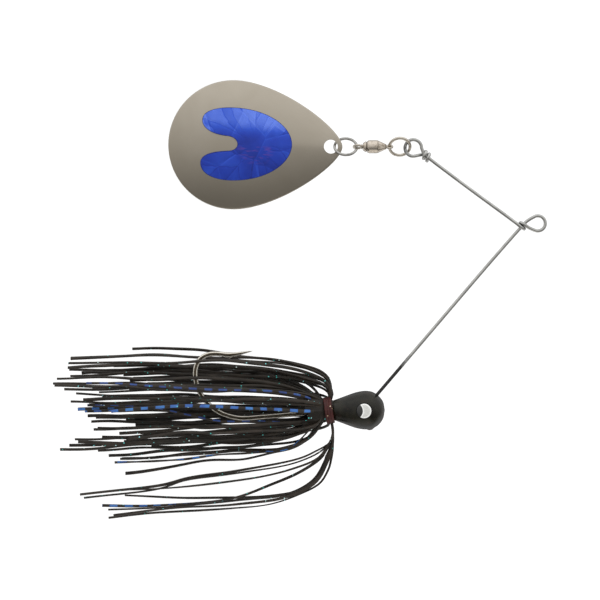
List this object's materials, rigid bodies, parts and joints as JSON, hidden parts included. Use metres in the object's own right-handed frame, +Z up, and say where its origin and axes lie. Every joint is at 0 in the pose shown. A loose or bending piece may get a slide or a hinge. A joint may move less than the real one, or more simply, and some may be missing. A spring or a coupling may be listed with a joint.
{
  "type": "spinnerbait",
  "caption": "Fishing lure: bent wire arms joining a cast bulb head, single hook and silicone skirt to a ball-bearing swivel and a cupped teardrop blade.",
  "frame": {"origin": "centre of the line tie, the open loop at the bend of the wire where the fishing line is tied", "axes": "the lure hangs from its line tie: +Z up is its forward direction of travel, from the skirt towards the line tie, -X is the side of the blade arm, +X the side of the head, and the wire form lies in the XZ plane"},
  "size_m": [0.1229, 0.031, 0.1412],
  "materials": {
    "stainless_wire": "drawn stainless spring wire, slightly satin",
    "head_paint": "glossy black powder paint on lead, thin brown-red edges",
    "hook_steel": "black nickel with pale golden highlights",
    "pearl_eye": "pearl white moulded eye with a dark pupil",
    "red_rubber": "dark red wound rubber with small bright flecks",
    "nickel_plate": "polished nickel plate",
    "bearing_steel": "polished bearing steel",
    "black_nickel": "smoked nickel plate on brass, soft warm grey reflections",
    "blue_foil": "crinkled royal blue foil tape under clear film",
    "dark_silicone": "dark translucent brown-black silicone with fine blue and green flake"
  },
  "bodies": {
    "wire_and_head": {"wire_form": "stainless_wire", "head_casting": "head_paint", "hook": "hook_steel", "right_eye": "pearl_eye", "left_eye": "pearl_eye", "skirt_band": "red_rubber", "skirt_strand_01": "dark_silicone", "skirt_strand_02": "dark_silicone", "skirt_strand_03": "dark_silicone", "skirt_strand_04": "dark_silicone", "skirt_strand_05": "dark_silicone", "skirt_strand_06": "dark_silicone", "skirt_strand_07": "dark_silicone", "skirt_strand_08": "dark_silicone", "skirt_strand_09": "dark_silicone", "skirt_strand_10": "dark_silicone", "skirt_strand_11": "dark_silicone", "skirt_strand_12": "dark_silicone", "skirt_strand_13": "dark_silicone", "skirt_strand_14": "dark_silicone", "skirt_strand_15": "dark_silicone", "skirt_strand_16": "dark_silicone", "skirt_strand_17": "dark_silicone", "skirt_strand_18": "dark_silicone", "skirt_strand_19": "dark_silicone", "skirt_strand_20": "dark_silicone", "skirt_strand_21": "dark_silicone", "skirt_strand_22": "dark_silicone", "skirt_strand_23": "dark_silicone", "skirt_strand_24": "dark_silicone", "skirt_strand_25": "dark_silicone", "skirt_strand_26": "dark_silicone", "skirt_strand_27": "dark_silicone", "skirt_strand_28": "dark_silicone", "skirt_strand_29": "dark_silicone", "skirt_strand_30": "dark_silicone"},
    "arm_ring": {"arm_ring": "nickel_plate"},
    "swivel": {"swivel_barrel": "nickel_plate", "swivel_cap": "nickel_plate", "swivel_end_eye": "nickel_plate", "thrust_ball_1": "bearing_steel", "thrust_ball_2": "bearing_steel", "thrust_ball_3": "bearing_steel", "thrust_ball_4": "bearing_steel", "thrust_ball_5": "bearing_steel", "thrust_ball_6": "bearing_steel"},
    "spindle": {"swivel_spindle": "nickel_plate"},
    "blade_ring": {"blade_ring": "nickel_plate"},
    "blade": {"blade": "black_nickel", "blade_inlay": "blue_foil"}
  },
  "joints": [
    {"name": "arm_ring_swing", "type": "hinge", "parent": "wire_and_head", "child": "arm_ring", "pos_m": [-0.02154, 0, -0.03557], "axis": [0, 1, 0], "range_deg": [-35, 110]},
    {"name": "swivel_tilt", "type": "hinge", "parent": "arm_ring", "child": "swivel", "pos_m": [-0.0219, 0, -0.04238], "axis": [-0.788, -0.6157, 0], "range_deg": [-35, 35]},
    {"name": "swivel_spin", "type": "hinge", "parent": "swivel", "child": "spindle", "pos_m": [-0.0219, 0, -0.047], "axis": [0, 0, 1], "continuous": true},
    {"name": "blade_ring_swing", "type": "hinge", "parent": "spindle", "child": "blade_ring", "pos_m": [-0.0219, 0, -0.05242], "axis": [0.5446, 0.8387, 0], "range_deg": [-30, 30]},
    {"name": "blade_flap", "type": "hinge", "parent": "blade_ring", "child": "blade", "pos_m": [-0.0219, 0, -0.05798], "axis": [-0.7986, 0.6018, 0], "range_deg": [-35, 35]}
  ]
}
